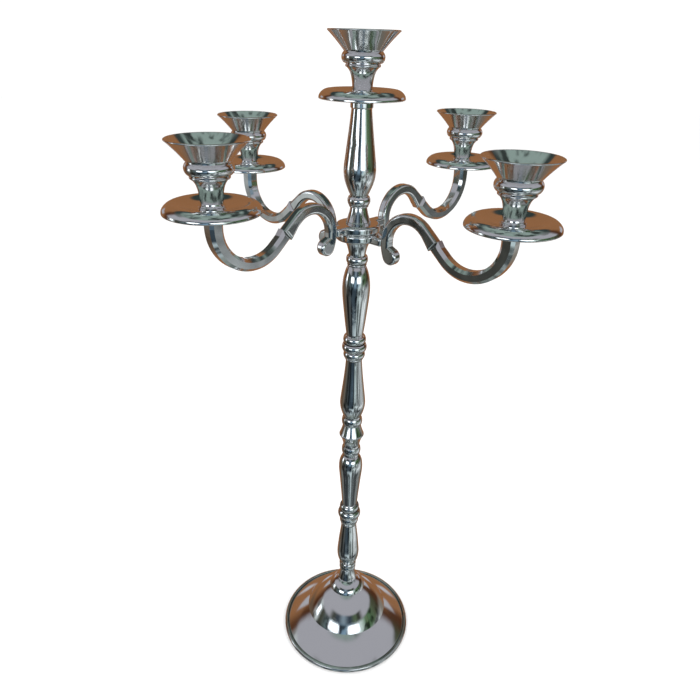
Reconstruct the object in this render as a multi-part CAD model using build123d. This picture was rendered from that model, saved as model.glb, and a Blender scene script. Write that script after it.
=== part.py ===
from build123d import *
import os
from math import asin, atan2, cos, degrees, radians, sin, sqrt

# Five-light tabletop candelabra: a stack of turned and cast aluminium pieces threaded on one
# steel tie rod, two crossed arm castings clamped at the hub, and a drip pan and candle cup on
# every arm end and on top.  Millimetres, +Z up, origin at the centre of the base's footprint.

# ---- driving dimensions -------------------------------------------------------------------
OVERALL_HEIGHT = 800.0
BASE_RADIUS = 92.0
FELT_THICKNESS = 1.2          # felt dots that the base stands on
CUP_HEIGHT = 56.5             # foot to rim
CUP_RIM_RADIUS = 35.2
CUP_FOOT_RADIUS = 11.7
SOCKET_RADIUS = 11.3          # takes a 22 mm taper candle
SOCKET_DEPTH = 18.0
PAN_RADIUS = 43.1
PAN_RISE = 3.8                # rim to the floor of the dish that the cup stands in
PAN_CREST = 8.4               # rim to the crest of the rolled edge
PAN_THICKNESS = 1.8
ARM_REACH = 181.5             # column axis to the axis of an arm's cup
ARM_WIDTH_INNER = 10.6        # band width across the arm, hub half
ARM_WIDTH_OUTER = 12.4        # band width across the arm, cup half
ARM_BEVEL = 2.9               # round on the hub half, flat facets on the cup half
PLATE_RADIUS = 24.0           # round middle of an arm casting
PLATE_THICKNESS = 8.9
TONGUE_REACH = 37.0           # flat tongue from the plate to the foot of the arm
TONGUE_WIDTH = 13.0
CROSS_ANGLE = 91.7            # the lower casting is clamped this far round from the upper one
ROD_RADIUS = 4.0              # M8 tie rod
BORE_RADIUS = 4.2             # hole through every piece that the rod only passes
STUD_RADIUS = 3.0             # M6 stud standing in every arm end
RUNNING = 0.05                # running clearance of a piece that turns on a rod or a stud
HUB_Z = 606.3                 # plane between the two arm castings

# heights of the joints between the stacked column pieces, from the table up
STEM_Z = [108.0, 121.0, 191.5, 229.5, 309.0, 369.5, 449.0, 483.5, 567.0, HUB_Z - PLATE_THICKNESS]
BELL_TOP_Z = 645.5
CENTRE_PAN_RIM_Z = OVERALL_HEIGHT - CUP_HEIGHT - PAN_RISE
ARM_CUP_DROP = 82.5           # upper arm rims below the centre rim

os.makedirs("parts", exist_ok=True)


def save(shape, name):
    """Write one sub-part under its own name."""
    shape.label = name
    export_step(shape, f"parts/{name}.step")


# ---- turned pieces ------------------------------------------------------------------------
# An outline is a start point and steps in (radius, height): two numbers run straight to a
# point, four bend through a point to a point, more are a smooth curve through all of them.
def outline_edges(start, steps, lift=0.0):
    """Edges of an outline in the XZ plane, and its end point."""
    here = Vector(start[0], 0, start[1] + lift)
    edges = []
    for step in steps:
        points = [Vector(step[i], 0, step[i + 1] + lift) for i in range(0, len(step), 2)]
        if len(points) == 1:
            edges.append(Edge.make_line(here, points[0]))
        elif len(points) == 2:
            edges.append(Edge.make_three_point_arc(here, points[0], points[1]))
        else:
            edges.append(Edge.make_spline([here] + points))
        here = points[-1]
    return edges, here


def turned(start, steps, bore, lift=0.0):
    """A ring-shaped solid: the outline is closed straight down a bore and spun."""
    edges, end = outline_edges(start, steps, lift)
    top = Vector(bore, 0, end.Z)
    bottom = Vector(bore, 0, start[1] + lift)
    edges.append(Edge.make_line(end, top))
    edges.append(Edge.make_line(top, bottom))
    edges.append(Edge.make_line(bottom, Vector(start[0], 0, start[1] + lift)))
    return revolve(Face(Wire(edges)), Axis.Z)


def bead(root, crest, low, high):
    """Two steps that run out, round and back in: one ring of a collar."""
    middle = (low + high) / 2
    shoulder = root + 0.55 * (crest - root)
    return [(shoulder, low), (crest, middle, shoulder, high), (root, high)]


# ---- base ---------------------------------------------------------------------------------
def base_shell():
    """Hollow cast base: lip, conical skirt, mound and bell, with a flat seat for the nut."""
    lip_inner = BASE_RADIUS - 9.5
    outside = [
        (BASE_RADIUS - 0.9, FELT_THICKNESS),
        (BASE_RADIUS - 0.3, FELT_THICKNESS + 0.4, BASE_RADIUS, 2.4),
        (BASE_RADIUS, 4.4),
        (BASE_RADIUS - 0.7, 6.4, BASE_RADIUS - 2.6, 7.1),
        (BASE_RADIUS - 4.0, 6.6, BASE_RADIUS - 4.6, 5.2),
        (BASE_RADIUS - 4.9, 5.6),
        (72.6, 20.6, 56.6, 34.0),
        (56.2, 34.9),
        (42.9, 57.2, 24.9, 75.4),
        (24.7, 76.2),
        (19.6, 85.6, 13.6, 90.6),
        (12.9, 91.2),
        (12.7, 92.6),
        (11.3, 99.5, 10.6, STEM_Z[0]),
    ]
    inside = [
        (BORE_RADIUS, 70.0),
        (18.5, 70.0),
        (38.6, 52.6, 51.4, 30.5),
        (67.0, 16.0, lip_inner, 4.2),
        (lip_inner, FELT_THICKNESS),
    ]
    edges, end = outline_edges((lip_inner, FELT_THICKNESS), outside)
    top = Vector(BORE_RADIUS, 0, end.Z)
    edges.append(Edge.make_line(end, top))
    inner_edges, _ = outline_edges((BORE_RADIUS, end.Z), inside)
    return revolve(Face(Wire(edges + inner_edges)), Axis.Z)


def felt_dots():
    """Four self-adhesive felt dots under the lip."""
    dot = Cylinder(3.6, FELT_THICKNESS, align=(Align.CENTER, Align.CENTER, Align.MIN))
    centre = BASE_RADIUS - 5.2
    return Compound([Pos(centre * cos(a), centre * sin(a), 0) * dot
                     for a in (radians(45 + 90 * i) for i in range(4))])


def hex_nut(across_flats, height, bore, z):
    """A hexagon nut with its corners turned off, seated upwards against z."""
    body = extrude(RegularPolygon(across_flats / 2, 6, major_radius=False), height)
    corner = across_flats / sqrt(3)
    bite = 0.5 * (corner - across_flats / 2) + 0.2
    barrel = Cylinder(corner, height, align=(Align.CENTER, Align.CENTER, Align.MIN))
    barrel = chamfer(barrel.edges().filter_by(GeomType.CIRCLE), bite)
    hole = Cylinder(bore, height, align=(Align.CENTER, Align.CENTER, Align.MIN))
    return Pos(0, 0, z - height) * ((body & barrel) - hole)


# ---- column -------------------------------------------------------------------------------
def column_pieces():
    """The nine stacked pieces between the base and the arm castings."""
    z = STEM_Z
    pieces = {}
    pieces["neck_collar"] = turned(
        (10.4, z[0]),
        bead(10.3, 11.5, z[0] + 0.5, z[0] + 6.3) + [(10.3, z[0] + 7.0)]
        + bead(10.3, 11.7, z[0] + 7.2, z[0] + 12.4) + [(10.3, z[1])], BORE_RADIUS)
    pieces["stem_baluster_low"] = turned(
        (10.8, z[1]),
        [(12.9, 126.6, 15.1, 141.0, 14.4, 152.0, 12.9, 168.0, 11.3, 181.0, 10.2, z[2])],
        BORE_RADIUS)
    pieces["stem_collar_low"] = turned(
        (10.2, z[2]),
        bead(10.2, 11.2, z[2] + 1.2, z[2] + 4.0)
        + bead(10.9, 12.7, z[2] + 5.0, z[2] + 13.6)
        + bead(11.6, 15.2, z[2] + 14.6, z[2] + 25.6)
        + bead(10.6, 13.1, z[2] + 26.6, z[2] + 34.8)
        + [(10.2, z[2] + 35.8), (10.2, z[3])], BORE_RADIUS)
    pieces["stem_baluster_second"] = turned(
        (10.2, z[3]),
        [(11.3, 244.0, 12.7, 260.0, 14.1, 275.0, 15.3, 290.0, 14.2, 301.0, 10.6, z[4])],
        BORE_RADIUS)
    pieces["stem_bead"] = turned(
        (10.3, z[4]),
        [(10.3, z[4] + 3.2)]
        + bead(10.4, 12.1, z[4] + 4.0, z[4] + 13.6)
        + [(10.3, z[4] + 16.0), (11.3, 331.0, 15.0, 340.2), (15.6, 341.6, 15.0, 343.0),
           (12.8, 349.6, 11.0, 356.0)]
        + bead(11.0, 12.9, 357.2, 367.0) + [(10.9, z[5])], BORE_RADIUS)
    pieces["stem_baluster_third"] = turned(
        (10.9, z[5]),
        [(13.9, 377.5, 15.6, 388.5, 14.9, 398.0, 13.2, 412.0, 11.5, 427.0, 9.6, z[6])],
        BORE_RADIUS)
    pieces["stem_collar_high"] = turned(
        (9.6, z[6]),
        bead(9.7, 10.8, z[6] + 0.8, z[6] + 2.8)
        + bead(10.5, 12.9, z[6] + 3.6, z[6] + 11.4)
        + bead(11.3, 14.7, z[6] + 12.6, z[6] + 22.0)
        + bead(10.8, 13.5, z[6] + 23.0, z[6] + 31.6)
        + [(10.0, z[6] + 32.6), (10.0, z[7])], BORE_RADIUS)
    pieces["stem_baluster_fourth"] = turned(
        (10.0, z[7]),
        [(11.7, 496.0, 13.3, 510.0, 14.8, 524.0, 15.8, 541.0, 14.6, 554.0, 10.2, z[8])],
        BORE_RADIUS)
    pieces["hub_cone"] = turned(
        (9.7, z[8]),
        bead(9.7, 10.9, z[8] + 0.6, z[8] + 2.6)
        + bead(9.7, 12.2, z[8] + 3.6, z[8] + 11.6)
        + [(9.3, z[8] + 12.8), (11.0, 588.0, 14.2, 596.4), (14.2, z[9])], BORE_RADIUS)
    return pieces


def top_pieces():
    """The bell and baluster above the arm castings."""
    plate_top = HUB_Z + PLATE_THICKNESS + 2 * RUNNING
    bell = turned(
        (13.4, plate_top),
        [(13.4, plate_top + 1.6), (12.8, plate_top + 2.2), (10.6, 624.5, 8.9, 632.4)]
        + bead(9.2, 10.5, 632.8, 634.8)
        + bead(9.6, 12.2, 635.2, 643.6) + [(9.7, BELL_TOP_Z)], BORE_RADIUS)
    pan_seat = CENTRE_PAN_RIM_Z + PAN_RISE - PAN_THICKNESS
    baluster = turned(
        (9.7, BELL_TOP_Z),
        [(12.7, 652.0, 16.0, 662.0, 16.9, 670.5, 16.0, 681.0, 14.4, 694.0, 12.3, 711.0,
          10.3, 730.2),
         (11.4, 731.4), (11.4, 735.4), (10.2, 737.0), (10.2, pan_seat)], BORE_RADIUS)
    return {"hub_bell": bell, "top_baluster": baluster}


# ---- drip pans and candle cups ------------------------------------------------------------
def drip_pan(rim_z, bore):
    """Dished pan: a shallow floor rising to a rolled edge that turns down to a thick rim."""
    underside = PAN_RISE - PAN_THICKNESS
    outer = [(PAN_RADIUS - 0.2, -0.4, PAN_RADIUS, 0.3),
             (PAN_RADIUS - 0.6, 2.9, PAN_RADIUS - 2.4, 5.3, PAN_RADIUS - 5.0, 7.3,
              PAN_RADIUS - 8.6, PAN_CREST, PAN_RADIUS - 13.4, 7.7, PAN_RADIUS - 20.1, 5.6,
              17.0, 4.2, 13.5, PAN_RISE),
             (bore, PAN_RISE), (bore, underside), (13.3, underside),
             (17.2, 2.4, PAN_RADIUS - 19.7, 3.8, PAN_RADIUS - 13.0, 5.9,
              PAN_RADIUS - 8.7, PAN_CREST - PAN_THICKNESS, PAN_RADIUS - 6.2, 5.9,
              PAN_RADIUS - 3.9, 4.1, PAN_RADIUS - 2.3, 2.1, PAN_RADIUS - 1.7, 0.0)]
    start = (PAN_RADIUS - 1.7, 0.0)
    edges, _ = outline_edges(start, outer, rim_z)
    return revolve(Face(Wire(edges)), Axis.Z)


def candle_cup(foot_z, hole):
    """Cast cup: stepped foot, neck, two rings, flared cone, and a socket for the candle."""
    height = CUP_HEIGHT
    rim = CUP_RIM_RADIUS
    socket_floor = height - 17.0 - SOCKET_DEPTH
    outside = [
        (CUP_FOOT_RADIUS, 0.9), (11.2, 1.4), (10.9, 2.2), (10.3, 2.7), (10.1, 3.8),
        (10.2, 8.0, 10.9, 13.6, 12.5, 19.2, 15.9, 23.9),
        (17.3, 25.1, 16.9, 26.3),
        (16.7, 27.1),
        (19.0, 27.8),
        (21.2, 32.4, 19.6, 37.1),
        (18.9, 37.9),
        (26.9, 47.2, rim - 0.5, height - 1.5),
        (rim, height - 0.8, rim - 0.5, height - 0.2),
        (rim - 1.1, height, rim - 1.6, height - 0.4),
        (22.6, height - 10.2, SOCKET_RADIUS + 1.4, height - 16.6),
        (SOCKET_RADIUS + 0.3, height - 16.9, SOCKET_RADIUS, height - 18.0),
        (SOCKET_RADIUS, socket_floor),
        (hole, socket_floor),
        (hole, 0.0),
    ]
    edges, end = outline_edges((CUP_FOOT_RADIUS, 0.0), outside, foot_z)
    edges.append(Edge.make_line(end, Vector(CUP_FOOT_RADIUS, 0, foot_z)))
    return revolve(Face(Wire(edges)), Axis.Z)


# ---- arm castings -------------------------------------------------------------------------
# An arm's side outline lies in the XZ plane: scroll, hump, straight fall, trough and riser.
# The centre line is a hump circle and a trough circle joined by their common tangent.
HUMP_X = 69.5
HUMP_Z = 612.9
HUMP_RADIUS = 28.5
TROUGH_X = 141.2
TROUGH_Z = 641.0
TROUGH_RADIUS = 39.5
SCROLL_X = 47.8
SCROLL_Z = 597.8
SCROLL_RADIUS = 9.0
RISER_OUTER_X = 188.8

run_x = TROUGH_X - HUMP_X
run_z = TROUGH_Z - HUMP_Z
FALL_ANGLE = (asin((HUMP_RADIUS + TROUGH_RADIUS) / sqrt(run_x ** 2 + run_z ** 2))
              - atan2(run_z, run_x))
along = Vector(cos(FALL_ANGLE), 0, -sin(FALL_ANGLE))
across = Vector(sin(FALL_ANGLE), 0, cos(FALL_ANGLE))
FALL_TOP = Vector(HUMP_X, 0, HUMP_Z) + across * HUMP_RADIUS
FALL_END = Vector(TROUGH_X, 0, TROUGH_Z) - across * TROUGH_RADIUS
KNUCKLE = FALL_TOP + (FALL_END - FALL_TOP) * 0.52


def arc_point(x, z, radius, angle):
    """A point on a circle in the XZ plane, angle in degrees from +X towards +Z."""
    return Vector(x + radius * cos(radians(angle)), 0, z + radius * sin(radians(angle)))


def band(edges, width_near, width_far, x_near, x_far, ease):
    """Extrude a side outline both ways, trim it to a width that changes along X, and ease its
    long edges with a fillet or a chamfer."""
    wide = max(width_near, width_far)
    blank = extrude(Face(Wire(edges)), wide, dir=(0, 1, 0), both=True)
    slope = (width_far - width_near) / 2 / (x_far - x_near)
    reach_far = width_near / 2 + slope * (ARM_REACH + 40 - x_near)
    reach_near = width_near / 2 + slope * (-10 - x_near)
    plan = Polyline((-10, -reach_near, 0), (ARM_REACH + 40, -reach_far, 0),
                    (ARM_REACH + 40, reach_far, 0), (-10, reach_near, 0),
                    (-10, -reach_near, 0))
    trimmed = blank & extrude(Pos(0, 0, HUB_Z - 60) * make_face(plan), 140)
    sides = trimmed.faces().filter_by(lambda f: abs(f.normal_at().Y) > 0.9)
    rims = [edge for face in sides for edge in face.edges()]
    return ease(rims, ARM_BEVEL)


def inner_half():
    """Hub half of one arm: scroll eye, hump and the fall as far as the knuckle."""
    half = 5.5
    flare = 3.0
    hump_out = arc_point(HUMP_X, HUMP_Z, HUMP_RADIUS + half, 180)
    hump_in = arc_point(HUMP_X, HUMP_Z, HUMP_RADIUS - half, 180)
    crest_out = arc_point(HUMP_X, HUMP_Z, HUMP_RADIUS + half, 115)
    crest_in = arc_point(HUMP_X, HUMP_Z, HUMP_RADIUS - half, 115)
    top_end = FALL_TOP + across * half
    low_end = FALL_TOP - across * half
    knuckle_top = KNUCKLE + across * half
    knuckle_low = KNUCKLE - across * (half + flare)
    flare_start = KNUCKLE - along * 15 - across * half
    notch = Vector(hump_in.X, 0, SCROLL_Z + 10.4)
    eye_top = arc_point(SCROLL_X, SCROLL_Z, SCROLL_RADIUS, 55)
    # the back is one arc, upright beside the hump and running smoothly into the round eye
    reach = SCROLL_X - hump_out.X
    drop = HUMP_Z - SCROLL_Z
    back_radius = (reach ** 2 + drop ** 2 - SCROLL_RADIUS ** 2) / (2 * (reach - SCROLL_RADIUS))
    back_angle = 180 + degrees(atan2(drop, back_radius - reach))
    back_x = hump_out.X + back_radius
    eye_back = arc_point(SCROLL_X, SCROLL_Z, SCROLL_RADIUS, back_angle)
    edges = [
        Edge.make_three_point_arc(
            hump_out, arc_point(back_x, HUMP_Z, back_radius, (180 + back_angle) / 2), eye_back),
        Edge.make_three_point_arc(
            eye_back, arc_point(SCROLL_X, SCROLL_Z, SCROLL_RADIUS, 300), eye_top),
        Edge.make_line(eye_top, notch),
        Edge.make_line(notch, hump_in),
        Edge.make_three_point_arc(hump_in, crest_in, low_end),
        Edge.make_line(low_end, flare_start),
        Edge.make_line(flare_start, knuckle_low),
        Edge.make_line(knuckle_low, knuckle_top),
        Edge.make_line(knuckle_top, top_end),
        Edge.make_three_point_arc(top_end, crest_out, hump_out),
    ]
    return band(edges, ARM_WIDTH_INNER, ARM_WIDTH_INNER + 0.4, 40, 105, fillet)


def outer_half(pan_seat_z):
    """Cup half of one arm: from the knuckle through the trough and up the thickening riser."""
    half = 5.9
    knuckle_top = KNUCKLE + across * (half + 1.6)
    knuckle_low = KNUCKLE - across * half
    top_start = KNUCKLE + along * 7 + across * half
    fall_top = FALL_END + across * half
    fall_low = FALL_END - across * half
    trough_in = arc_point(TROUGH_X, TROUGH_Z, TROUGH_RADIUS - half, 270)
    trough_out = arc_point(TROUGH_X, TROUGH_Z, TROUGH_RADIUS + half, 270)
    riser_in = arc_point(TROUGH_X, TROUGH_Z, TROUGH_RADIUS - half, 0)
    outer_radius = RISER_OUTER_X - TROUGH_X
    riser_out = Vector(RISER_OUTER_X, 0, trough_out.Z + outer_radius)
    bend_out = Vector(TROUGH_X + outer_radius * sin(radians(45)), 0,
                      riser_out.Z - outer_radius * cos(radians(45)))
    seat_in = Vector(riser_in.X - 0.2, 0, pan_seat_z)
    seat_out = Vector(RISER_OUTER_X, 0, pan_seat_z)
    edges = [
        Edge.make_line(knuckle_low, knuckle_top),
        Edge.make_line(knuckle_top, top_start),
        Edge.make_line(top_start, fall_top),
        Edge.make_three_point_arc(fall_top, arc_point(TROUGH_X, TROUGH_Z, TROUGH_RADIUS - half,
                                                      250), trough_in),
        Edge.make_three_point_arc(trough_in, arc_point(TROUGH_X, TROUGH_Z,
                                                       TROUGH_RADIUS - half, 315), riser_in),
        Edge.make_line(riser_in, seat_in),
        Edge.make_line(seat_in, seat_out),
        Edge.make_line(seat_out, riser_out),
        Edge.make_three_point_arc(riser_out, bend_out, trough_out),
        Edge.make_three_point_arc(trough_out, arc_point(TROUGH_X, TROUGH_Z,
                                                        TROUGH_RADIUS + half, 250), fall_low),
        Edge.make_line(fall_low, knuckle_low),
    ]
    return band(edges, ARM_WIDTH_OUTER, ARM_WIDTH_OUTER + 1.8, 100, ARM_REACH, chamfer)


def arm_casting(pan_rim_z, bore):
    """Upper casting: round plate, two opposite S arms, and a tapped hole in each end."""
    pan_seat_z = pan_rim_z + PAN_RISE - PAN_THICKNESS
    low = HUB_Z + RUNNING
    plate = Cylinder(PLATE_RADIUS, PLATE_THICKNESS, align=(Align.CENTER, Align.CENTER, Align.MIN))
    plate = fillet(plate.edges().filter_by(GeomType.CIRCLE), 2.6)
    tongue = Box(2 * TONGUE_REACH, TONGUE_WIDTH, PLATE_THICKNESS,
                 align=(Align.CENTER, Align.CENTER, Align.MIN))
    tongue = fillet(tongue.edges().filter_by(Axis.Z), 3.0)
    tongue = fillet(tongue.edges().filter_by(lambda e: abs(e.tangent_at(0.5).Z) < 0.5), 2.4)
    arm = inner_half() + outer_half(pan_seat_z)
    arm -= Pos(ARM_REACH, 0, pan_seat_z - 18) * Cylinder(
        STUD_RADIUS, 36, align=(Align.CENTER, Align.CENTER, Align.MIN))
    casting = Pos(0, 0, low) * (plate + tongue) + arm + Rot(0, 0, 180) * arm
    return casting - Pos(0, 0, low - 20) * Cylinder(
        bore, 60, align=(Align.CENTER, Align.CENTER, Align.MIN))


def arm_stud(pan_rim_z):
    """M6 stud: locked in the arm end, through the pan and up into the cup's foot."""
    seat = pan_rim_z + PAN_RISE - PAN_THICKNESS
    stud = Cylinder(STUD_RADIUS, 18 + PAN_THICKNESS + 11,
                    align=(Align.CENTER, Align.CENTER, Align.MIN))
    stud = chamfer(stud.edges().filter_by(GeomType.CIRCLE), 0.6)
    return Pos(0, 0, seat - 18) * stud


# ---- assembly -----------------------------------------------------------------------------
save(base_shell(), "base_shell")
save(felt_dots(), "felt_dots")
NUT_SEAT_Z = 70.0
WASHER_THICKNESS = 2.0
washer = Cylinder(15, WASHER_THICKNESS, align=(Align.CENTER, Align.CENTER, Align.MIN))
washer -= Cylinder(BORE_RADIUS, WASHER_THICKNESS, align=(Align.CENTER, Align.CENTER, Align.MIN))
save(Pos(0, 0, NUT_SEAT_Z - WASHER_THICKNESS) * washer, "base_washer")
save(hex_nut(13.0, 6.5, ROD_RADIUS, NUT_SEAT_Z - WASHER_THICKNESS), "base_nut")

for name, piece in column_pieces().items():
    save(piece, name)
for name, piece in top_pieces().items():
    save(piece, name)

centre_foot_z = OVERALL_HEIGHT - CUP_HEIGHT
ROD_TOP_Z = centre_foot_z + 10.0
ROD_LOW_Z = NUT_SEAT_Z - WASHER_THICKNESS - 6.5 - 4.0
rod = Cylinder(ROD_RADIUS, ROD_TOP_Z - ROD_LOW_Z, align=(Align.CENTER, Align.CENTER, Align.MIN))
rod = chamfer(rod.edges().filter_by(GeomType.CIRCLE), 0.8)
save(Pos(0, 0, ROD_LOW_Z) * rod, "tie_rod")

save(drip_pan(CENTRE_PAN_RIM_Z, BORE_RADIUS), "drip_pan_centre")
save(candle_cup(centre_foot_z + RUNNING, ROD_RADIUS + RUNNING), "candle_cup_centre")

upper_rim_z = CENTRE_PAN_RIM_Z - ARM_CUP_DROP
casting = arm_casting(upper_rim_z, ROD_RADIUS + RUNNING)
lower = Pos(0, 0, -PLATE_THICKNESS - RUNNING)
save(casting, "arms_upper")
save(lower * Rot(0, 0, CROSS_ANGLE) * arm_casting(upper_rim_z, BORE_RADIUS), "arms_lower")

ARM_ENDS = {"upper_right": (0.0, 0.0), "upper_left": (180.0, 0.0),
            "lower_back": (CROSS_ANGLE, -PLATE_THICKNESS - RUNNING),
            "lower_front": (CROSS_ANGLE + 180.0, -PLATE_THICKNESS - RUNNING)}
for name, (angle, lift) in ARM_ENDS.items():
    place = Rot(0, 0, angle) * Pos(ARM_REACH, 0, lift)
    foot_z = upper_rim_z + PAN_RISE
    save(place * drip_pan(upper_rim_z, STUD_RADIUS + 0.2), f"drip_pan_{name}")
    save(place * arm_stud(upper_rim_z), f"arm_stud_{name}")
    save(place * candle_cup(foot_z + RUNNING, STUD_RADIUS + RUNNING), f"candle_cup_{name}")
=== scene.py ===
import bpy
import bmesh
from math import hypot, pi, radians
from mathutils import Matrix, Vector


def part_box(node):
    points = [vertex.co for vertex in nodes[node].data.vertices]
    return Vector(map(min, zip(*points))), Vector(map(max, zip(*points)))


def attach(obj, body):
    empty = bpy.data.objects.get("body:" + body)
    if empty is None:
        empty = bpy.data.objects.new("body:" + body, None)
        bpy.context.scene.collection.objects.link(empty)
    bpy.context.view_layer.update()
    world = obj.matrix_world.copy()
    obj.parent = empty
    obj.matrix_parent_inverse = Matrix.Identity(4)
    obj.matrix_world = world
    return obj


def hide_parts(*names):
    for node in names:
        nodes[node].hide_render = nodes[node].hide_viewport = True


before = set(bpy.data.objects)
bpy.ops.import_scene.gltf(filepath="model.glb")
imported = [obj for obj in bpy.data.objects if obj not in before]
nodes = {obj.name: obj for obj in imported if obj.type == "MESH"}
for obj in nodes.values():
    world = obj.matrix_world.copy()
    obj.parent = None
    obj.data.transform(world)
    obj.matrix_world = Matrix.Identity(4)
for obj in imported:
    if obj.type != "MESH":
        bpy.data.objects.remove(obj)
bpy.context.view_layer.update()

# ---- Camera -------------------------------------------------------------------------------
# A short lens at the height of the top cup, looking down at the base, so that the rims above
# show nearly edge on and the base shows from well above.
heading = radians(46.03)
camera_pose = (Matrix.Translation((-0.4731, -0.4494, 0.7943))
               @ Matrix.Rotation(-heading, 4, "Z")
               @ Matrix.Rotation(radians(62.93), 4, "X")
               @ Matrix.Rotation(radians(1.59), 4, "Z"))
camera = bpy.data.objects.new("camera", bpy.data.cameras.new("camera"))
camera.data.sensor_width = 36.0
camera.data.lens = 31.63
camera.data.clip_start = 0.01
camera.matrix_world = camera_pose
bpy.context.scene.collection.objects.link(camera)
bpy.context.scene.camera = camera
bpy.context.scene.view_settings.view_transform = "Standard"

# ---- Floor --------------------------------------------------------------------------------
# A pale matt sweep that the candelabra stands on.  The polished metal mirrors the room round
# it rather than the sweep, so the floor is left out of mirror reflections.
sweep_radius = 9.0
sweep_mesh = bpy.data.meshes.new("floor")
sweep = bmesh.new()
bmesh.ops.create_circle(sweep, cap_ends=True, segments=96, radius=sweep_radius)
sweep.to_mesh(sweep_mesh)
sweep.free()
floor = bpy.data.objects.new("floor", sweep_mesh)
bpy.context.scene.collection.objects.link(floor)
floor.visible_glossy = False
sweep_paint = bpy.data.materials.new("pale_floor")
sweep_paint.use_nodes = True
sweep_shader = sweep_paint.node_tree.nodes["Principled BSDF"]
sweep_shader.inputs["Base Color"].default_value = (0.96, 0.96, 0.96, 1.0)
sweep_shader.inputs["Roughness"].default_value = 0.9
floor.data.materials.append(sweep_paint)

# ---- Room and light -----------------------------------------------------------------------
# Mirror-polished metal has no look of its own, so the room it stands in is made as a soft
# world: brown timber beyond the object, a lilac-grey ceiling, and windows behind the viewer.
# What isn't a mirror ray sees plain pale studio light.
room = bpy.data.worlds.new("room")
room.use_nodes = True
bpy.context.scene.world = room
wires = room.node_tree
wires.nodes.clear()


def room_node(kind, settings=None, **sockets):
    """One node of the room, with its settings.  Its sockets are set or joined by name, or by
    number as i0, i1 and so on."""
    node = wires.nodes.new(kind)
    for key, value in (settings or {}).items():
        setattr(node, key, value)
    for key, value in sockets.items():
        by_number = key[0] == "i" and key[1:].isdigit()
        socket = node.inputs[int(key[1:]) if by_number else key]
        if isinstance(value, bpy.types.NodeSocket):
            wires.links.new(value, socket)
        else:
            socket.default_value = value
    return node


def room_band(value, start, end):
    """0 before start and 1 past end, smooth between.  With end below start it falls."""
    node = room_node("ShaderNodeMapRange", {"interpolation_type": "SMOOTHSTEP"})
    wires.links.new(value, node.inputs["Value"])
    node.inputs["From Min"].default_value = start
    node.inputs["From Max"].default_value = end
    return node.outputs["Result"]


def room_mix(amount, first, second):
    """Blend of two colours by an amount from 0 to 1."""
    node = room_node("ShaderNodeMix", {"data_type": "RGBA"})
    wires.links.new(amount, node.inputs[0])
    for socket, value in ((node.inputs[6], first), (node.inputs[7], second)):
        if isinstance(value, bpy.types.NodeSocket):
            wires.links.new(value, socket)
        else:
            socket.default_value = (*value, 1.0)
    return node.outputs[2]


def panorama(factor, stops):
    """Colours round the compass: 0 and 1 lie beyond the object, 0.5 behind the viewer."""
    node = wires.nodes.new("ShaderNodeValToRGB")
    node.color_ramp.interpolation = "EASE"
    while len(node.color_ramp.elements) < len(stops):
        node.color_ramp.elements.new(0.5)
    for element, (place, _) in zip(node.color_ramp.elements, stops):
        element.position = place
    for element, (_, colour) in zip(node.color_ramp.elements, stops):
        element.color = (*colour, 1.0)
    wires.links.new(factor, node.inputs["Fac"])
    return node.outputs["Color"]


ray = wires.nodes.new("ShaderNodeTexCoord").outputs["Generated"]
ray_parts = room_node("ShaderNodeSeparateXYZ", i0=ray)
turned_ray = room_node("ShaderNodeVectorRotate", {"rotation_type": "Z_AXIS"}, Vector=ray,
                       Angle=heading)
turned_parts = room_node("ShaderNodeSeparateXYZ", i0=turned_ray.outputs[0])
behind = room_node("ShaderNodeMath", {"operation": "MULTIPLY"}, i0=turned_parts.outputs["Y"],
                   i1=-1.0)
bearing = room_node("ShaderNodeMath", {"operation": "ARCTAN2"}, i0=turned_parts.outputs["X"],
                    i1=behind.outputs[0])
compass = room_node("ShaderNodeMath", {"operation": "MULTIPLY_ADD"}, i0=bearing.outputs[0],
                    i1=1 / (2 * pi), i2=0.5).outputs[0]
height = ray_parts.outputs["Z"]

# Colours round the room at each height, from the floor up.
timber = (0.29, 0.135, 0.060)
timber_dark = (0.075, 0.028, 0.012)
ceiling = (0.37, 0.375, 0.42)
gloom = (0.030, 0.045, 0.043)
steep_round = panorama(compass, [
    (0.00, timber), (0.10, timber), (0.20, (0.11, 0.11, 0.10)), (0.34, (0.13, 0.15, 0.165)),
    (0.46, (0.30, 0.37, 0.40)), (0.58, (0.40, 0.47, 0.49)), (0.72, (0.24, 0.27, 0.28)),
    (0.84, (0.15, 0.14, 0.12)), (0.91, timber), (1.00, timber)])
low_round = panorama(compass, [
    (0.00, timber), (0.09, timber), (0.16, (0.13, 0.085, 0.055)), (0.30, (0.068, 0.072, 0.066)),
    (0.42, (0.030, 0.045, 0.058)), (0.51, (0.022, 0.034, 0.045)), (0.55, (0.36, 0.44, 0.45)),
    (0.66, (0.42, 0.47, 0.48)), (0.76, (0.62, 0.67, 0.70)), (0.84, (0.22, 0.20, 0.17)),
    (0.90, timber), (1.00, timber)])
level_round = panorama(compass, [
    (0.00, timber), (0.14, timber), (0.20, timber_dark), (0.25, (0.55, 0.61, 0.63)),
    (0.29, (0.035, 0.038, 0.028)), (0.40, (0.10, 0.15, 0.17)), (0.47, (0.12, 0.19, 0.26)),
    (0.54, (0.16, 0.25, 0.32)), (0.60, (0.40, 0.48, 0.47)), (0.67, (0.06, 0.12, 0.06)),
    (0.78, (0.045, 0.05, 0.030)), (0.84, timber_dark), (0.88, timber), (1.00, timber)])
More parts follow.
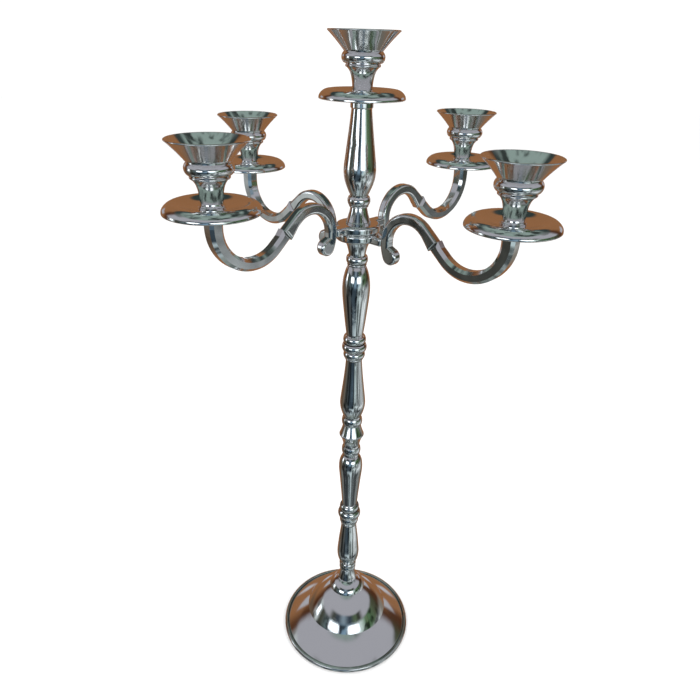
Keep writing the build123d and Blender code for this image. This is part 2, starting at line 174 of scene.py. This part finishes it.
shoulder_round = panorama(compass, [
    (0.00, timber), (0.13, timber), (0.18, timber_dark), (0.22, ceiling), (0.34, ceiling),
    (0.39, (0.045, 0.05, 0.04)), (0.43, (0.035, 0.05, 0.07)), (0.48, (0.20, 0.27, 0.33)),
    (0.53, (0.03, 0.045, 0.065)), (0.58, (0.08, 0.12, 0.07)), (0.61, (0.03, 0.035, 0.025)),
    (0.66, ceiling), (0.78, ceiling), (0.82, timber_dark), (0.87, timber), (1.00, timber)])
eaves_round = panorama(compass, [
    (0.00, timber), (0.13, timber), (0.18, timber_dark), (0.23, ceiling), (0.77, ceiling),
    (0.82, timber_dark), (0.87, timber), (1.00, timber)])
upper_round = panorama(compass, [
    (0.00, gloom), (0.16, gloom), (0.24, (0.16, 0.18, 0.18)), (0.30, ceiling), (0.70, ceiling),
    (0.76, (0.16, 0.18, 0.18)), (0.84, gloom), (1.00, gloom)])
overhead = (0.17, 0.225, 0.21)
underfoot = (0.16, 0.19, 0.185)
surround = room_mix(room_band(height, -0.93, -0.85), underfoot, steep_round)
surround = room_mix(room_band(height, -0.68, -0.56), surround, low_round)
surround = room_mix(room_band(height, -0.34, -0.14), surround, level_round)
surround = room_mix(room_band(height, 0.14, 0.24), surround, shoulder_round)
surround = room_mix(room_band(height, 0.38, 0.44), surround, eaves_round)
surround = room_mix(room_band(height, 0.58, 0.66), surround, upper_round)
surround = room_mix(room_band(height, 0.72, 0.80), surround, overhead)


def bright_pane(colour_so_far, left, right, sill, head, colour, softness):
    """A pane of colour between two bearings and two heights, with soft edges."""
    side_blur = 0.008 * softness
    end_blur = 0.025 * softness
    edges = [room_band(compass, left - side_blur, left + side_blur),
             room_band(compass, right + side_blur, right - side_blur),
             room_band(height, sill - end_blur, sill + end_blur),
             room_band(height, head + end_blur, head - end_blur)]
    amount = edges[0]
    for edge in edges[1:]:
        amount = room_node("ShaderNodeMath", {"operation": "MULTIPLY"}, i0=amount,
                           i1=edge).outputs[0]
    return room_mix(amount, colour_so_far, colour)


# Furniture and shade break up the near side of the room below the ceiling, and what is overhead.
furniture = room_node("ShaderNodeTexNoise", {"noise_dimensions": "3D"}, Vector=ray, Scale=3.4,
                      Detail=2.0, Roughness=0.55)
shade = room_node("ShaderNodeMapRange", {"interpolation_type": "SMOOTHSTEP"})
wires.links.new(furniture.outputs[0], shade.inputs["Value"])
for label, value in (("From Min", 0.40), ("From Max", 0.60), ("To Min", 0.18), ("To Max", 1.55)):
    shade.inputs[label].default_value = value
shaded = room_node("ShaderNodeVectorMath", {"operation": "SCALE"})
wires.links.new(surround, shaded.inputs[0])
wires.links.new(shade.outputs["Result"], shaded.inputs["Scale"])
nearside = room_node("ShaderNodeMath", {"operation": "MULTIPLY"},
                     i0=room_band(compass, 0.17, 0.25), i1=room_band(compass, 0.83, 0.75))
below_ceiling = room_node("ShaderNodeMath", {"operation": "MULTIPLY"}, i0=nearside.outputs[0],
                          i1=room_band(height, 0.20, 0.12))
overhead_part = room_node("ShaderNodeMath", {"operation": "MAXIMUM"},
                          i0=below_ceiling.outputs[0], i1=room_band(height, 0.74, 0.84))
surround = room_mix(overhead_part.outputs[0], surround, shaded.outputs[0])
window = (2.4, 2.6, 2.8)
garden = (0.12, 0.19, 0.10)
door_light = (0.50, 0.50, 0.54)
side_light = (0.42, 0.42, 0.46)
for left, right, sill, head, colour, softness in (
        (0.375, 0.445, -0.08, 0.14, window, 1.6), (0.520, 0.600, -0.08, 0.14, window, 1.6),
        (0.245, 0.265, -0.12, 0.10, window, 1.0), (0.660, 0.680, 0.00, 0.16, garden, 1.5),
        (0.060, 0.085, -0.34, -0.20, door_light, 1.0),
        (0.915, 0.940, -0.34, -0.20, door_light, 1.0),
        (0.105, 0.150, 0.02, 0.22, side_light, 1.0),
        (0.850, 0.895, 0.02, 0.22, side_light, 1.0)):
    surround = bright_pane(surround, left, right, sill, head, colour, softness)

studio_light = (1.10, 1.10, 1.10)
light_path = wires.nodes.new("ShaderNodeLightPath")
seen = room_mix(light_path.outputs["Is Glossy Ray"], studio_light, surround)
glow = room_node("ShaderNodeBackground", Strength=1.0)
wires.links.new(seen, glow.inputs["Color"])
world_out = wires.nodes.new("ShaderNodeOutputWorld")
wires.links.new(glow.outputs[0], world_out.inputs["Surface"])

lamp_target = Vector((0.0, 0.0, 0.45))
for lamp_name, place, size, power in (("lamp_left", (-1.6, -0.4, 2.0), 1.0, 10.0),
                                      ("lamp_right", (0.5, -1.7, 1.7), 0.8, 8.0)):
    lamp = bpy.data.objects.new(lamp_name, bpy.data.lights.new(lamp_name, "AREA"))
    lamp.data.size = size
    lamp.data.energy = power
    lamp.location = place
    aim = lamp_target - Vector(place)
    lamp.rotation_euler = aim.to_track_quat("-Z", "Y").to_euler()
    lamp.visible_glossy = False
    bpy.context.scene.collection.objects.link(lamp)

# ---- Base ---------------------------------------------------------------------------------
# One hollow aluminium casting, machined on its outside, nickel plated and buffed on a mop.
# Buffing leaves fine rings round the axis and a faint ripple from the casting.  The colour is
# darkened in the grooves, where ambient occlusion finds them: painted shade.


def polished_metal(name, axis=(0.0, 0.0), ripple=0.35, ring_count=900.0):
    """Buffed nickel plate with rings round a vertical axis and painted shade in its grooves."""
    metal = bpy.data.materials.new(name)
    metal.use_nodes = True
    tree = metal.node_tree
    plate = tree.nodes["Principled BSDF"]
    plate.inputs["Metallic"].default_value = 1.0
    place = tree.nodes.new("ShaderNodeTexCoord").outputs["Object"]
    centred = tree.nodes.new("ShaderNodeMapping")
    centred.inputs["Location"].default_value = (-axis[0], -axis[1], 0.0)
    tree.links.new(place, centred.inputs["Vector"])
    spot = centred.outputs["Vector"]

    casting_ripple = tree.nodes.new("ShaderNodeTexNoise")
    casting_ripple.inputs["Scale"].default_value = 46.0
    casting_ripple.inputs["Detail"].default_value = 1.0
    tree.links.new(spot, casting_ripple.inputs["Vector"])

    parts = tree.nodes.new("ShaderNodeSeparateXYZ")
    tree.links.new(spot, parts.inputs["Vector"])
    flat = tree.nodes.new("ShaderNodeCombineXYZ")
    tree.links.new(parts.outputs["X"], flat.inputs["X"])
    tree.links.new(parts.outputs["Y"], flat.inputs["Y"])
    from_axis = tree.nodes.new("ShaderNodeVectorMath")
    from_axis.operation = "LENGTH"
    tree.links.new(flat.outputs["Vector"], from_axis.inputs[0])
    ring_spot = tree.nodes.new("ShaderNodeCombineXYZ")
    tree.links.new(from_axis.outputs["Value"], ring_spot.inputs["X"])
    tree.links.new(parts.outputs["Z"], ring_spot.inputs["Z"])
    buff_rings = tree.nodes.new("ShaderNodeTexNoise")
    buff_rings.inputs["Scale"].default_value = ring_count
    buff_rings.inputs["Detail"].default_value = 3.0
    tree.links.new(ring_spot.outputs["Vector"], buff_rings.inputs["Vector"])

    handling = tree.nodes.new("ShaderNodeTexNoise")
    handling.inputs["Scale"].default_value = 22.0
    handling.inputs["Detail"].default_value = 7.0
    handling.inputs["Roughness"].default_value = 0.62
    tree.links.new(spot, handling.inputs["Vector"])
    gloss = tree.nodes.new("ShaderNodeMapRange")
    gloss.inputs["From Min"].default_value = 0.35
    gloss.inputs["From Max"].default_value = 0.75
    gloss.inputs["To Min"].default_value = 0.055
    gloss.inputs["To Max"].default_value = 0.15
    tree.links.new(handling.outputs["Fac"], gloss.inputs["Value"])
    tree.links.new(gloss.outputs["Result"], plate.inputs["Roughness"])

    # Painted shade: the base colour goes dark wherever ambient occlusion finds a groove or a
    # joint.
    crease = tree.nodes.new("ShaderNodeAmbientOcclusion")
    crease.only_local = True
    crease.samples = 8
    crease.inputs["Distance"].default_value = 0.003
    groove_shade = tree.nodes.new("ShaderNodeValToRGB")
    groove_shade.color_ramp.elements[0].position = 0.30
    groove_shade.color_ramp.elements[0].color = (0.10, 0.085, 0.075, 1.0)
    groove_shade.color_ramp.elements[1].position = 0.62
    groove_shade.color_ramp.elements[1].color = (0.86, 0.86, 0.85, 1.0)
    tree.links.new(crease.outputs["AO"], groove_shade.inputs["Fac"])
    tree.links.new(groove_shade.outputs["Color"], plate.inputs["Base Color"])

    wave = tree.nodes.new("ShaderNodeBump")
    wave.inputs["Strength"].default_value = ripple
    wave.inputs["Distance"].default_value = 0.0006
    tree.links.new(casting_ripple.outputs["Fac"], wave.inputs["Height"])
    scratch = tree.nodes.new("ShaderNodeBump")
    scratch.inputs["Strength"].default_value = 0.05
    scratch.inputs["Distance"].default_value = 0.00008
    tree.links.new(buff_rings.outputs["Fac"], scratch.inputs["Height"])
    tree.links.new(wave.outputs["Normal"], scratch.inputs["Normal"])
    tree.links.new(scratch.outputs["Normal"], plate.inputs["Normal"])
    return metal


def finish_node(node_name, metal):
    """A CAD piece keeps its shape and gets a worked finish in every material slot."""
    for place in nodes[node_name].material_slots:
        place.material = metal


column_metal = polished_metal("buffed_column_metal", ripple=0.25)
finish_node("base_shell", column_metal)

# ---- Felt dots ----------------------------------------------------------------------------
# Four self-adhesive felt dots under the lip keep the metal off the table.  Pressed wool felt,
# with loose fibres standing out of the cut edge.
felt = bpy.data.materials.new("pressed_felt")
felt.use_nodes = True
felt_shader = felt.node_tree.nodes["Principled BSDF"]
felt_shader.inputs["Roughness"].default_value = 0.95
felt_shader.inputs["Sheen Weight"].default_value = 0.5
felt_place = felt.node_tree.nodes.new("ShaderNodeTexCoord")
felt_grain = felt.node_tree.nodes.new("ShaderNodeTexNoise")
felt_grain.inputs["Scale"].default_value = 2600.0
felt_grain.inputs["Detail"].default_value = 6.0
felt_tint = felt.node_tree.nodes.new("ShaderNodeValToRGB")
felt_tint.color_ramp.elements[0].color = (0.012, 0.012, 0.014, 1.0)
felt_tint.color_ramp.elements[1].color = (0.060, 0.058, 0.062, 1.0)
felt_bump = felt.node_tree.nodes.new("ShaderNodeBump")
felt_bump.inputs["Strength"].default_value = 0.8
felt_bump.inputs["Distance"].default_value = 0.0003
felt.node_tree.links.new(felt_place.outputs["Object"], felt_grain.inputs["Vector"])
felt.node_tree.links.new(felt_grain.outputs["Fac"], felt_tint.inputs["Fac"])
felt.node_tree.links.new(felt_tint.outputs["Color"], felt_shader.inputs["Base Color"])
felt.node_tree.links.new(felt_grain.outputs["Fac"], felt_bump.inputs["Height"])
felt.node_tree.links.new(felt_bump.outputs["Normal"], felt_shader.inputs["Normal"])
finish_node("felt_dots", felt)


def grown(name, start_mesh, tree, inputs, sizes):
    """Run a tree on a start mesh with named sizes, and keep the result as a plain mesh."""
    holder = bpy.data.objects.new(name + "_start", start_mesh)
    bpy.context.scene.collection.objects.link(holder)
    step = holder.modifiers.new("grow", "NODES")
    step.node_group = tree
    for label, value in sizes.items():
        step[inputs[label]] = value
    bpy.context.view_layer.update()
    graph = bpy.context.evaluated_depsgraph_get()
    mesh = bpy.data.meshes.new_from_object(holder.evaluated_get(graph))
    bpy.data.objects.remove(holder)
    piece = bpy.data.objects.new(name, mesh)
    mesh.name = name
    bpy.context.scene.collection.objects.link(piece)
    return piece


def loose_fibres(name):
    """Geometry Nodes tree: short fibres standing out of the upright faces of a felt piece."""
    tree = bpy.data.node_groups.new(name, "GeometryNodeTree")
    inputs = {}
    for label, kind in (("Felt", "NodeSocketGeometry"), ("Fibre Length", "NodeSocketFloat"),
                        ("Fibre Radius", "NodeSocketFloat"), ("Density", "NodeSocketFloat"),
                        ("Seed", "NodeSocketInt"), ("Finish", "NodeSocketMaterial")):
        inputs[label] = tree.interface.new_socket(label, in_out="INPUT",
                                                  socket_type=kind).identifier
    tree.interface.new_socket("Fibres", in_out="OUTPUT", socket_type="NodeSocketGeometry")
    given = tree.nodes.new("NodeGroupInput").outputs
    result = tree.nodes.new("NodeGroupOutput")
    facing = tree.nodes.new("ShaderNodeSeparateXYZ")
    tree.links.new(tree.nodes.new("GeometryNodeInputNormal").outputs[0], facing.inputs[0])
    upright = tree.nodes.new("ShaderNodeMath")
    upright.operation = "COMPARE"
    upright.inputs[1].default_value = 0.0
    upright.inputs[2].default_value = 0.5  # how far from level a face may point
    tree.links.new(facing.outputs["Z"], upright.inputs[0])
    roots = tree.nodes.new("GeometryNodeDistributePointsOnFaces")
    tree.links.new(given["Felt"], roots.inputs["Mesh"])
    tree.links.new(upright.outputs[0], roots.inputs["Selection"])
    tree.links.new(given["Density"], roots.inputs["Density"])
    tree.links.new(given["Seed"], roots.inputs["Seed"])
    lean_limit = 0.8
    full_turn = 6.28
    fibre = tree.nodes.new("GeometryNodeMeshCone")
    fibre.inputs["Vertices"].default_value = 3
    fibre.inputs["Radius Top"].default_value = 0.0
    tree.links.new(given["Fibre Radius"], fibre.inputs["Radius Bottom"])
    tree.links.new(given["Fibre Length"], fibre.inputs["Depth"])
    tilt = tree.nodes.new("FunctionNodeRandomValue")
    tilt.data_type = "FLOAT_VECTOR"
    tilt.inputs["Min"].default_value = (-lean_limit, -lean_limit, 0.0)
    tilt.inputs["Max"].default_value = (lean_limit, lean_limit, full_turn)
    lean = tree.nodes.new("FunctionNodeRotateRotation")
    lean.rotation_space = "LOCAL"
    tree.links.new(roots.outputs["Rotation"], lean.inputs[0])
    tree.links.new(tilt.outputs[0], lean.inputs[1])
    planted = tree.nodes.new("GeometryNodeInstanceOnPoints")
    tree.links.new(roots.outputs["Points"], planted.inputs["Points"])
    tree.links.new(fibre.outputs["Mesh"], planted.inputs["Instance"])
    tree.links.new(lean.outputs[0], planted.inputs["Rotation"])
    whole = tree.nodes.new("GeometryNodeRealizeInstances")
    tree.links.new(planted.outputs[0], whole.inputs[0])
    spot = tree.nodes.new("ShaderNodeSeparateXYZ")
    tree.links.new(tree.nodes.new("GeometryNodeInputPosition").outputs[0], spot.inputs[0])
    above = tree.nodes.new("ShaderNodeMath")
    above.operation = "MAXIMUM"
    above.inputs[1].default_value = 0.00003  # just clear of the table
    tree.links.new(spot.outputs["Z"], above.inputs[0])
    kept = tree.nodes.new("ShaderNodeCombineXYZ")
    tree.links.new(spot.outputs["X"], kept.inputs["X"])
    tree.links.new(spot.outputs["Y"], kept.inputs["Y"])
    tree.links.new(above.outputs[0], kept.inputs["Z"])
    pressed = tree.nodes.new("GeometryNodeSetPosition")
    tree.links.new(whole.outputs[0], pressed.inputs["Geometry"])
    tree.links.new(kept.outputs[0], pressed.inputs["Position"])
    coated = tree.nodes.new("GeometryNodeSetMaterial")
    tree.links.new(pressed.outputs[0], coated.inputs["Geometry"])
    tree.links.new(given["Finish"], coated.inputs["Material"])
    tree.links.new(coated.outputs[0], result.inputs[0])
    return tree, inputs


fibre_tree, fibre_inputs = loose_fibres("felt_fibres")
fibres = grown("felt_edge_fibres", nodes["felt_dots"].data.copy(), fibre_tree, fibre_inputs, {
    "Fibre Length": 0.0008, "Fibre Radius": 0.00002, "Density": 1.6e7, "Seed": 4,
    "Finish": felt})
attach(fibres, "column")

# ---- Tie rod, nut and washer --------------------------------------------------------------
# An M8 rod of zinc-plated steel runs through the whole column.  Its ends carry a rolled thread:
# the nut under the base pulls every piece down on the next, and the top cup screws on above.
zinc = bpy.data.materials.new("zinc_plated_steel")
zinc.use_nodes = True
zinc_shader = zinc.node_tree.nodes["Principled BSDF"]
zinc_shader.inputs["Metallic"].default_value = 1.0
zinc_place = zinc.node_tree.nodes.new("ShaderNodeTexCoord")
zinc_spangle = zinc.node_tree.nodes.new("ShaderNodeTexNoise")
zinc_spangle.inputs["Scale"].default_value = 420.0
zinc_spangle.inputs["Detail"].default_value = 5.0
zinc_tint = zinc.node_tree.nodes.new("ShaderNodeValToRGB")
zinc_tint.color_ramp.elements[0].color = (0.42, 0.44, 0.46, 1.0)
zinc_tint.color_ramp.elements[1].color = (0.70, 0.71, 0.72, 1.0)
zinc_gloss = zinc.node_tree.nodes.new("ShaderNodeMapRange")
zinc_gloss.inputs["To Min"].default_value = 0.24
zinc_gloss.inputs["To Max"].default_value = 0.46
zinc_bump = zinc.node_tree.nodes.new("ShaderNodeBump")
zinc_bump.inputs["Strength"].default_value = 0.15
zinc_bump.inputs["Distance"].default_value = 0.0002
zinc.node_tree.links.new(zinc_place.outputs["Object"], zinc_spangle.inputs["Vector"])
zinc.node_tree.links.new(zinc_spangle.outputs["Fac"], zinc_tint.inputs["Fac"])
zinc.node_tree.links.new(zinc_tint.outputs["Color"], zinc_shader.inputs["Base Color"])
zinc.node_tree.links.new(zinc_spangle.outputs["Fac"], zinc_gloss.inputs["Value"])
zinc.node_tree.links.new(zinc_gloss.outputs["Result"], zinc_shader.inputs["Roughness"])
zinc.node_tree.links.new(zinc_spangle.outputs["Fac"], zinc_bump.inputs["Height"])
zinc.node_tree.links.new(zinc_bump.outputs["Normal"], zinc_shader.inputs["Normal"])
finish_node("base_nut", zinc)
finish_node("base_washer", zinc)


def outward(mesh):
    """Close doubles, point every face outwards and shade the sides smooth."""
    work = bmesh.new()
    work.from_mesh(mesh)
    bmesh.ops.remove_doubles(work, verts=work.verts, dist=0.000002)
    bmesh.ops.recalc_face_normals(work, faces=work.faces)
    for side in work.faces:
        side.smooth = len(side.verts) < 5
    work.to_mesh(mesh)
    work.free()


def rolled_thread(name):
    """Geometry Nodes tree: a rod of one diameter whose two ends carry a rolled V thread."""
    tree = bpy.data.node_groups.new(name, "GeometryNodeTree")
    face = tree.interface
    inputs = {}
    for label, kind in (("Crest Radius", "NodeSocketFloat"), ("Pitch", "NodeSocketFloat"),
                        ("Depth", "NodeSocketFloat"), ("Low", "NodeSocketFloat"),
                        ("High", "NodeSocketFloat"), ("Rings", "NodeSocketInt"),
                        ("Plain From", "NodeSocketFloat"), ("Plain To", "NodeSocketFloat"),
                        ("Finish", "NodeSocketMaterial")):
        inputs[label] = face.new_socket(label, in_out="INPUT", socket_type=kind).identifier
    face.new_socket("Rod", in_out="OUTPUT", socket_type="NodeSocketGeometry")
    given = tree.nodes.new("NodeGroupInput").outputs
    result = tree.nodes.new("NodeGroupOutput")

    def sum_of(operation, *values):
        node = tree.nodes.new("ShaderNodeMath")
        node.operation = operation
        for socket, value in zip(node.inputs, values):
            if isinstance(value, bpy.types.NodeSocket):
                tree.links.new(value, socket)
            else:
                socket.default_value = value
        return node.outputs[0]

    length = sum_of("SUBTRACT", given["High"], given["Low"])
    sides = 24
    sheet = tree.nodes.new("GeometryNodeMeshGrid")
    sheet.inputs["Size X"].default_value = 1.0
    sheet.inputs["Vertices X"].default_value = sides + 1
    tree.links.new(length, sheet.inputs["Size Y"])
    tree.links.new(given["Rings"], sheet.inputs["Vertices Y"])
    spot = tree.nodes.new("ShaderNodeSeparateXYZ")
    tree.links.new(tree.nodes.new("GeometryNodeInputPosition").outputs[0], spot.inputs[0])
    turn = sum_of("MULTIPLY", spot.outputs["X"], 2 * pi)
    rise = sum_of("ADD", spot.outputs["Y"],
                  sum_of("MULTIPLY", sum_of("ADD", given["Low"], given["High"]), 0.5))
    phase = sum_of("SUBTRACT", sum_of("DIVIDE", rise, given["Pitch"]), spot.outputs["X"])
    crest = sum_of("PINGPONG", phase, 0.5)
    from_end = sum_of("MINIMUM", sum_of("SUBTRACT", rise, given["Low"]),
                      sum_of("SUBTRACT", given["High"], rise))
    lead_in = sum_of("MINIMUM", sum_of("DIVIDE", from_end, given["Pitch"]), 1.0)
    off_low = sum_of("SUBTRACT", given["Plain From"], rise)
    off_high = sum_of("SUBTRACT", rise, given["Plain To"])
    threaded = sum_of("GREATER_THAN", sum_of("MAXIMUM", off_low, off_high), 0.0)
    valley = sum_of("MULTIPLY", sum_of("SUBTRACT", 1.0, sum_of("MULTIPLY", crest, 2.0)), threaded)
    cut = sum_of("MULTIPLY", given["Depth"],
                 sum_of("MAXIMUM", valley, sum_of("SUBTRACT", 1.0, lead_in)))
    radius = sum_of("SUBTRACT", given["Crest Radius"], cut)
    place = tree.nodes.new("ShaderNodeCombineXYZ")
    tree.links.new(sum_of("MULTIPLY", radius, sum_of("COSINE", turn)), place.inputs["X"])
    tree.links.new(sum_of("MULTIPLY", radius, sum_of("SINE", turn)), place.inputs["Y"])
    tree.links.new(rise, place.inputs["Z"])
    wrap = tree.nodes.new("GeometryNodeSetPosition")
    tree.links.new(sheet.outputs["Mesh"], wrap.inputs["Geometry"])
    tree.links.new(place.outputs[0], wrap.inputs["Position"])
    joined = tree.nodes.new("GeometryNodeJoinGeometry")
    tree.links.new(wrap.outputs[0], joined.inputs[0])
    for level, flip in (("Low", True), ("High", False)):
        end = tree.nodes.new("GeometryNodeMeshCircle")
        end.fill_type = "NGON"
        end.inputs["Vertices"].default_value = sides
        tree.links.new(sum_of("SUBTRACT", given["Crest Radius"], given["Depth"]),
                       end.inputs["Radius"])
        lift = tree.nodes.new("ShaderNodeCombineXYZ")
        tree.links.new(given[level], lift.inputs["Z"])
        seat = tree.nodes.new("GeometryNodeTransform")
        tree.links.new(end.outputs[0], seat.inputs["Geometry"])
        tree.links.new(lift.outputs[0], seat.inputs["Translation"])
        turned_over = seat
        if flip:
            turned_over = tree.nodes.new("GeometryNodeFlipFaces")
            tree.links.new(seat.outputs[0], turned_over.inputs[0])
        tree.links.new(turned_over.outputs[0], joined.inputs[0])
    welded = tree.nodes.new("GeometryNodeMergeByDistance")
    welded.inputs["Distance"].default_value = 0.000002
    tree.links.new(joined.outputs[0], welded.inputs["Geometry"])
    whole = tree.nodes.new("GeometryNodeRealizeInstances")
    tree.links.new(welded.outputs[0], whole.inputs[0])
    coated = tree.nodes.new("GeometryNodeSetMaterial")
    tree.links.new(whole.outputs[0], coated.inputs["Geometry"])
    tree.links.new(given["Finish"], coated.inputs["Material"])
    tree.links.new(coated.outputs[0], result.inputs[0])
    return tree, inputs


thread_tree, thread_inputs = rolled_thread("rolled_thread")
rod_low, rod_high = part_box("tie_rod")
rod_pitch = 0.00125
rod_thread_length = 0.045
rings_per_turn = 6
rod = grown("threaded_tie_rod", bpy.data.meshes.new("rod_start"), thread_tree, thread_inputs, {
    "Crest Radius": rod_high.x, "Pitch": rod_pitch, "Depth": 0.00068, "Low": rod_low.z,
    "High": rod_high.z, "Rings": int((rod_high.z - rod_low.z) / rod_pitch * rings_per_turn) + 1,
    "Plain From": rod_low.z + rod_thread_length, "Plain To": rod_high.z - rod_thread_length,
    "Finish": zinc})
outward(rod.data)
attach(rod, "column")
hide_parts("tie_rod")

# ---- Column -------------------------------------------------------------------------------
# Turned aluminium balusters, collars and beads, each a separate casting slid over the rod,
# buffed while spinning on a mandrel.
stack = ("neck_collar", "stem_baluster_low", "stem_collar_low", "stem_baluster_second",
         "stem_bead", "stem_baluster_third", "stem_collar_high", "stem_baluster_fourth",
         "hub_cone", "hub_bell", "top_baluster")
for node_name in stack:
    finish_node(node_name, column_metal)

# A thin dark bead lies in the seam under each stacked piece: painted shade for the dark joint.
seam_shade = bpy.data.materials.new("painted_seam_shade")
seam_shade.use_nodes = True
seam_shade_shader = seam_shade.node_tree.nodes["Principled BSDF"]
seam_shade_shader.inputs["Roughness"].default_value = 0.7
seam_shade_place = seam_shade.node_tree.nodes.new("ShaderNodeTexCoord")
seam_shade_grain = seam_shade.node_tree.nodes.new("ShaderNodeTexNoise")
seam_shade_grain.inputs["Scale"].default_value = 700.0
seam_shade_tint = seam_shade.node_tree.nodes.new("ShaderNodeValToRGB")
seam_shade_tint.color_ramp.elements[0].color = (0.012, 0.010, 0.009, 1.0)
seam_shade_tint.color_ramp.elements[1].color = (0.075, 0.062, 0.050, 1.0)
seam_shade_bump = seam_shade.node_tree.nodes.new("ShaderNodeBump")
seam_shade_bump.inputs["Strength"].default_value = 0.6
seam_shade_bump.inputs["Distance"].default_value = 0.0001
seam_shade.node_tree.links.new(seam_shade_place.outputs["Object"], seam_shade_grain.inputs["Vector"])
seam_shade.node_tree.links.new(seam_shade_grain.outputs["Fac"], seam_shade_tint.inputs["Fac"])
seam_shade.node_tree.links.new(seam_shade_tint.outputs["Color"], seam_shade_shader.inputs["Base Color"])
seam_shade.node_tree.links.new(seam_shade_grain.outputs["Fac"], seam_shade_bump.inputs["Height"])
seam_shade.node_tree.links.new(seam_shade_bump.outputs["Normal"], seam_shade_shader.inputs["Normal"])


def seam_line(name):
    """Geometry Nodes tree: a thin dark bead of painted shade on a circle round the column."""
    tree = bpy.data.node_groups.new(name, "GeometryNodeTree")
    inputs = {}
    for label, kind in (("Seam Radius", "NodeSocketFloat"), ("Bead Radius", "NodeSocketFloat"),
                        ("Height", "NodeSocketFloat"), ("Finish", "NodeSocketMaterial")):
        inputs[label] = tree.interface.new_socket(label, in_out="INPUT",
                                                  socket_type=kind).identifier
    tree.interface.new_socket("Seam", in_out="OUTPUT", socket_type="NodeSocketGeometry")
    given = tree.nodes.new("NodeGroupInput").outputs
    result = tree.nodes.new("NodeGroupOutput")
    path = tree.nodes.new("GeometryNodeCurvePrimitiveCircle")
    path.inputs["Resolution"].default_value = 72
    tree.links.new(given["Seam Radius"], path.inputs["Radius"])
    bead = tree.nodes.new("GeometryNodeCurvePrimitiveCircle")
    bead.inputs["Resolution"].default_value = 6
    tree.links.new(given["Bead Radius"], bead.inputs["Radius"])
    laid = tree.nodes.new("GeometryNodeCurveToMesh")
    tree.links.new(path.outputs[0], laid.inputs["Curve"])
    tree.links.new(bead.outputs[0], laid.inputs["Profile Curve"])
    lift = tree.nodes.new("ShaderNodeCombineXYZ")
    tree.links.new(given["Height"], lift.inputs["Z"])
    seat = tree.nodes.new("GeometryNodeTransform")
    tree.links.new(laid.outputs[0], seat.inputs["Geometry"])
    tree.links.new(lift.outputs[0], seat.inputs["Translation"])
    whole = tree.nodes.new("GeometryNodeRealizeInstances")
    tree.links.new(seat.outputs[0], whole.inputs[0])
    coated = tree.nodes.new("GeometryNodeSetMaterial")
    tree.links.new(whole.outputs[0], coated.inputs["Geometry"])
    tree.links.new(given["Finish"], coated.inputs["Material"])
    tree.links.new(coated.outputs[0], result.inputs[0])
    return tree, inputs


# The bell stands on the arm plate and gets no bead of painted shade.  The last seam is the top
# baluster's own edge, just under the pan.
seams = [(name, name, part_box(name)[0].z) for name in stack if name != "hub_bell"]
seams.append(("pan", "top_baluster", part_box("top_baluster")[1].z - 0.0002))
edge_tolerance = 0.0003
bead_radius = 0.00022
seam_tree, seam_inputs = seam_line("seam_line")
# Each seam bead is painted shade in the joint.
for above_name, node_name, seam_height in seams:
    edge_radius = max(hypot(v.co.x, v.co.y) for v in nodes[node_name].data.vertices
                      if abs(v.co.z - seam_height) < edge_tolerance)
    seam = grown(f"seam_under_{above_name}", bpy.data.meshes.new("seam_start"), seam_tree,
                 seam_inputs, {"Seam Radius": edge_radius, "Bead Radius": bead_radius,
                               "Height": seam_height, "Finish": seam_shade})
    outward(seam.data)
    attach(seam, "column")

# ---- Arm castings -------------------------------------------------------------------------
# Each pair of S arms is one sand casting with its hub plate, ground to flat facets and buffed
# by hand, so its surface ripples more than the turned pieces do.
arm_metal = polished_metal("buffed_arm_metal", ripple=0.6, ring_count=500.0)
finish_node("arms_upper", arm_metal)
finish_node("arms_lower", arm_metal)

# ---- Drip pans, cups and studs ------------------------------------------------------------
# Every station has a dished pan with a rolled edge and a cast cup, and each arm end has an M6
# stud standing in it.  The rings of each turned piece run round its own axis.
stud_pitch = 0.001
stud_thread_depth = 0.00054
stud_rings = 186
for station in ("centre", "upper_right", "upper_left", "lower_back", "lower_front"):
    low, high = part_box(f"candle_cup_{station}")
    middle = (low + high) / 2
    station_metal = polished_metal(f"buffed_{station}_metal", (middle.x, middle.y), 0.45)
    finish_node(f"candle_cup_{station}", station_metal)
    finish_node(f"drip_pan_{station}", station_metal)
    if station == "centre":
        continue
    stud_low, stud_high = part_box(f"arm_stud_{station}")
    stud_axis = (stud_low + stud_high) / 2
    stud = grown(f"threaded_stud_{station}", bpy.data.meshes.new("stud_start"), thread_tree,
                 thread_inputs, {
                     "Crest Radius": (stud_high.x - stud_low.x) / 2, "Pitch": stud_pitch,
                     "Depth": stud_thread_depth, "Low": stud_low.z, "High": stud_high.z,
                     "Rings": stud_rings, "Plain From": stud_axis.z, "Plain To": stud_axis.z,
                     "Finish": zinc})
    stud.data.transform(Matrix.Translation((stud_axis.x, stud_axis.y, 0.0)))
    outward(stud.data)
    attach(stud, "upper_arms" if station.startswith("upper") else "column")
    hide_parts(f"arm_stud_{station}")
